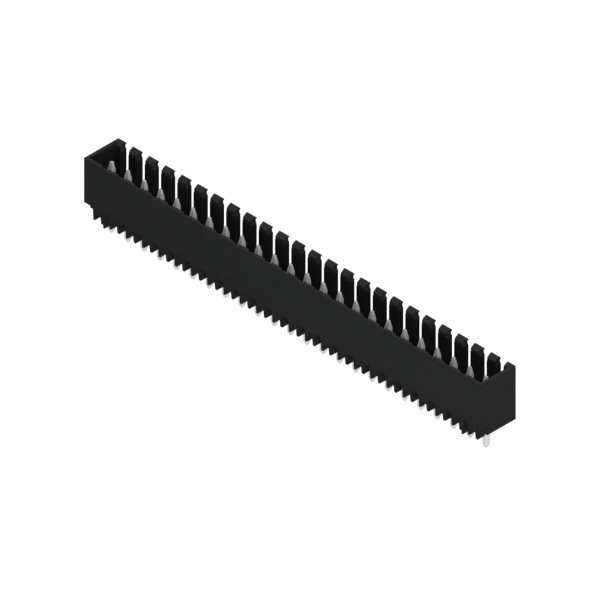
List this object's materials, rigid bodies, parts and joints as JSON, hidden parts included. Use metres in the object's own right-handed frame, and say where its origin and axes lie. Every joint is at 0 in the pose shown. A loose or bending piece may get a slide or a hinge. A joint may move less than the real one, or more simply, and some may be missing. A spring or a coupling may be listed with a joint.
{
  "type": "pcb plug connector",
  "caption": "Straight single-row pin header for a circuit board: an open-topped trough with a slotted coding wall, a latch ledge under the plain wall, square contact pins and ribbed feet.",
  "frame": {"origin": "middle of the pin row, in the plane where the feet under the base stand on the circuit board", "axes": "+X along the pin row, +Y towards the slotted coding wall, +Z out of the board, towards the plug side"},
  "size_m": [0.093, 0.0081, 0.0156],
  "materials": {
    "black_polyamide": "fine matte moulded glass-filled polyamide",
    "tinned_copper_alloy": "drawn and coined copper alloy wire, bright tin plate"
  },
  "bodies": {
    "root": {"housing": "black_polyamide", "pin_01": "tinned_copper_alloy", "pin_02": "tinned_copper_alloy", "pin_03": "tinned_copper_alloy", "pin_04": "tinned_copper_alloy", "pin_05": "tinned_copper_alloy", "pin_06": "tinned_copper_alloy", "pin_07": "tinned_copper_alloy", "pin_08": "tinned_copper_alloy", "pin_09": "tinned_copper_alloy", "pin_10": "tinned_copper_alloy", "pin_11": "tinned_copper_alloy", "pin_12": "tinned_copper_alloy", "pin_13": "tinned_copper_alloy", "pin_14": "tinned_copper_alloy", "pin_15": "tinned_copper_alloy", "pin_16": "tinned_copper_alloy", "pin_17": "tinned_copper_alloy", "pin_18": "tinned_copper_alloy", "pin_19": "tinned_copper_alloy", "pin_20": "tinned_copper_alloy", "pin_21": "tinned_copper_alloy", "pin_22": "tinned_copper_alloy", "pin_23": "tinned_copper_alloy", "pin_24": "tinned_copper_alloy"}
  },
  "joints": []
}
